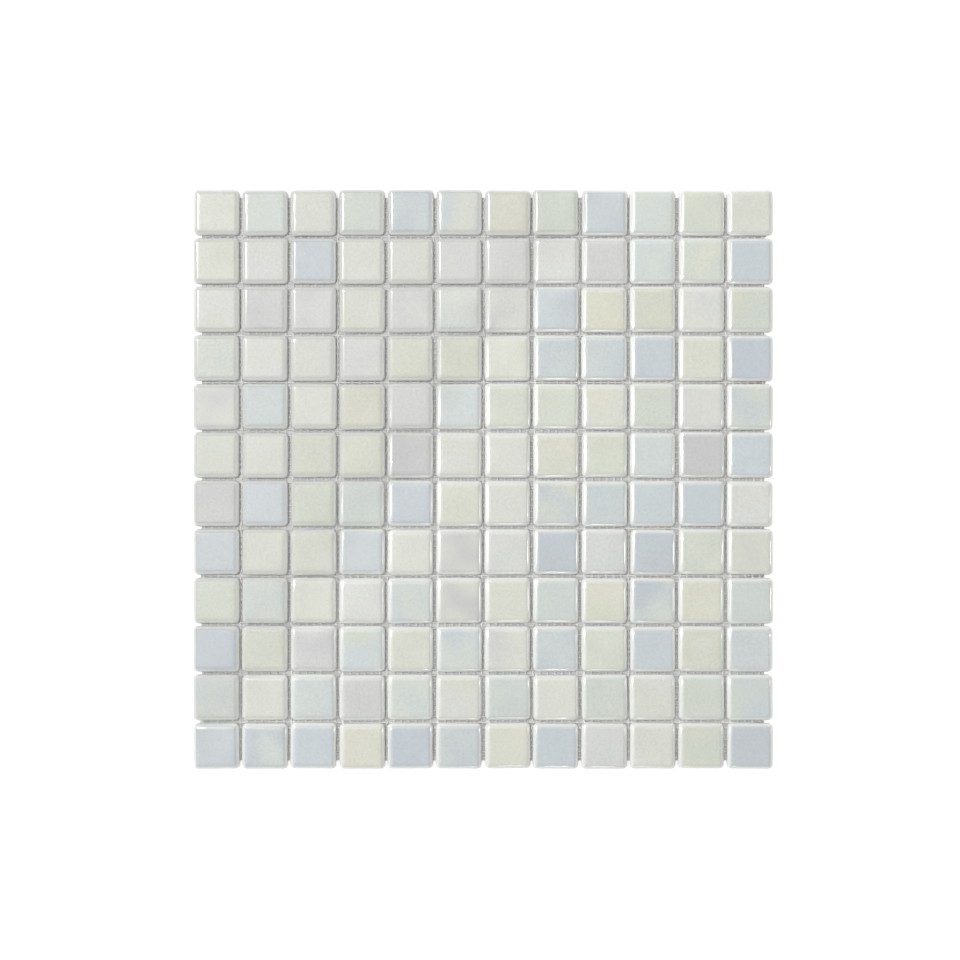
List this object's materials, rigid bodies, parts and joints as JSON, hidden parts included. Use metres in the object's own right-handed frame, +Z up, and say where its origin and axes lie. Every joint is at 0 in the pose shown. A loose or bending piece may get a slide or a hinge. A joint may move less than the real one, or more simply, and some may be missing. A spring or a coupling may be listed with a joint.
{
  "type": "mosaic tile sheet",
  "caption": "Square sheet of small square pearl glass mosaic tiles with soft rims, set in straight rows with open joints on a glass fibre net, for bedding on a wall or floor.",
  "frame": {"origin": "the middle of the sheet, on the surface that the net lies on", "axes": "+Z up out of the tile faces, +X along the rows to the right in the picture, +Y across the rows, up in the picture"},
  "size_m": [0.316, 0.316, 0.0044],
  "materials": {
    "pearl_glass": "opaque pearl glass, soft gloss with a faint shift of colour from tile to tile",
    "glass_fibre_net": "white glass fibre threads stiffened with resin"
  },
  "bodies": {
    "root": {"net_weft_threads": "glass_fibre_net", "net_warp_threads": "glass_fibre_net", "tile_row_01": "pearl_glass", "tile_row_02": "pearl_glass", "tile_row_03": "pearl_glass", "tile_row_04": "pearl_glass", "tile_row_05": "pearl_glass", "tile_row_06": "pearl_glass", "tile_row_07": "pearl_glass", "tile_row_08": "pearl_glass", "tile_row_09": "pearl_glass", "tile_row_10": "pearl_glass", "tile_row_11": "pearl_glass", "tile_row_12": "pearl_glass"}
  },
  "joints": []
}
